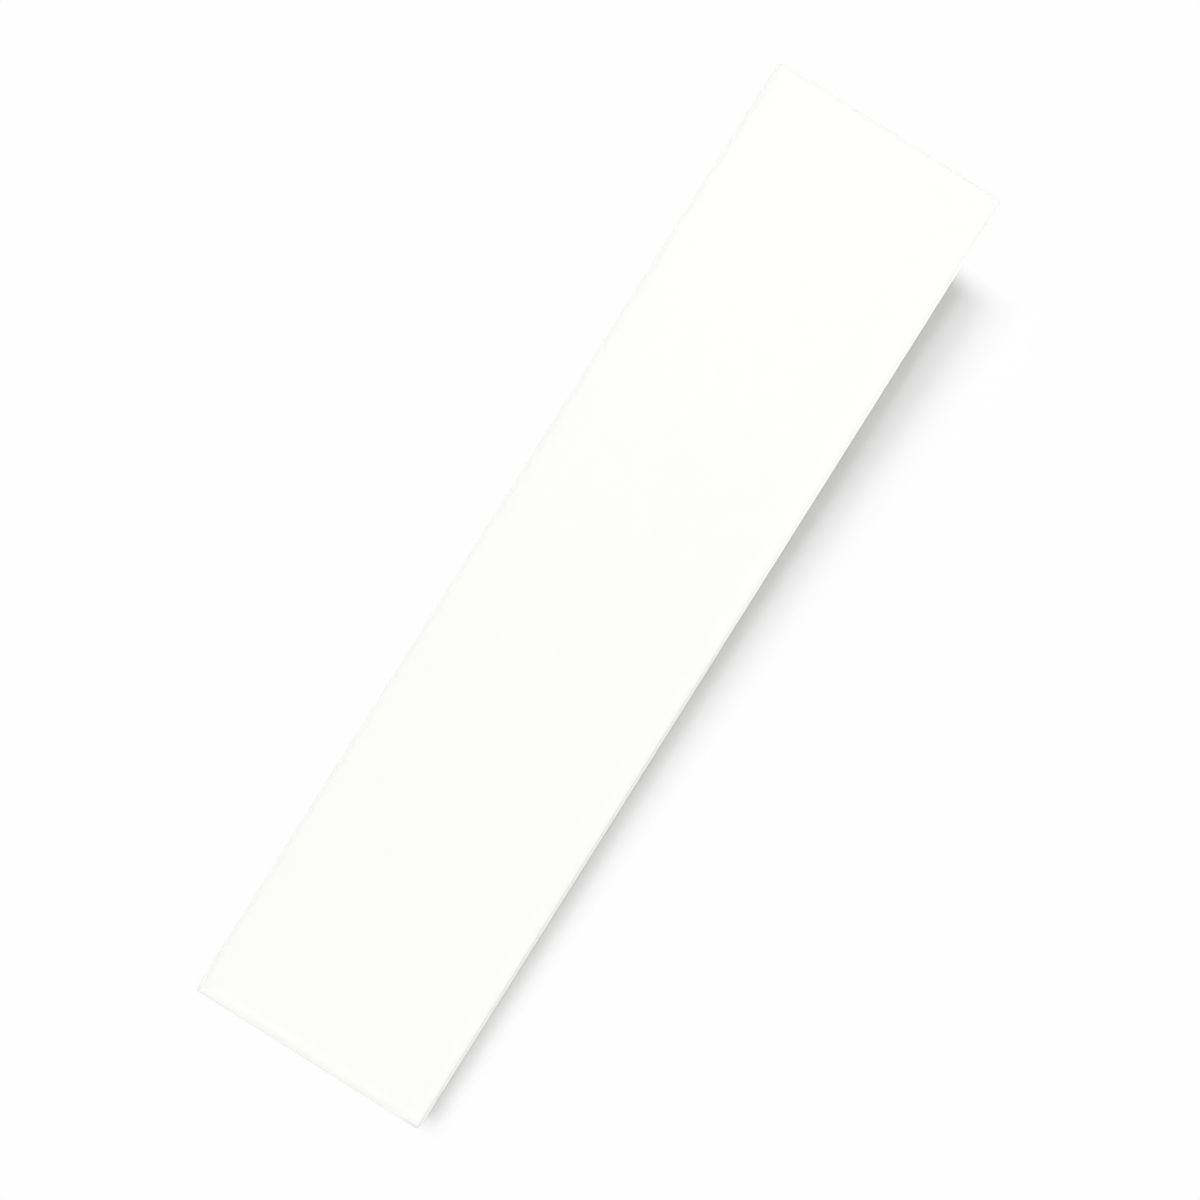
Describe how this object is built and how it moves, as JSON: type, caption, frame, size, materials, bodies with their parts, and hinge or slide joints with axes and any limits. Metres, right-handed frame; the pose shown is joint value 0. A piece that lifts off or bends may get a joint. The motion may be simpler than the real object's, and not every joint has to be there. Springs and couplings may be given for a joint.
{
  "type": "subway wall tile",
  "caption": "Slim white glazed ceramic subway wall tile with cushioned edges and shallow mortar keys pressed into its back.",
  "frame": {"origin": "centre of the back's bearing plane, the plane of the ribs and rim that are bedded in adhesive", "axes": "+X along the tile's long side, +Y across its short side, +Z out of the glazed face"},
  "size_m": [0.25, 0.06, 0.008],
  "materials": {
    "white_glaze": "gloss"
  },
  "bodies": {
    "root": {"wall_tile": "white_glaze"}
  },
  "joints": []
}
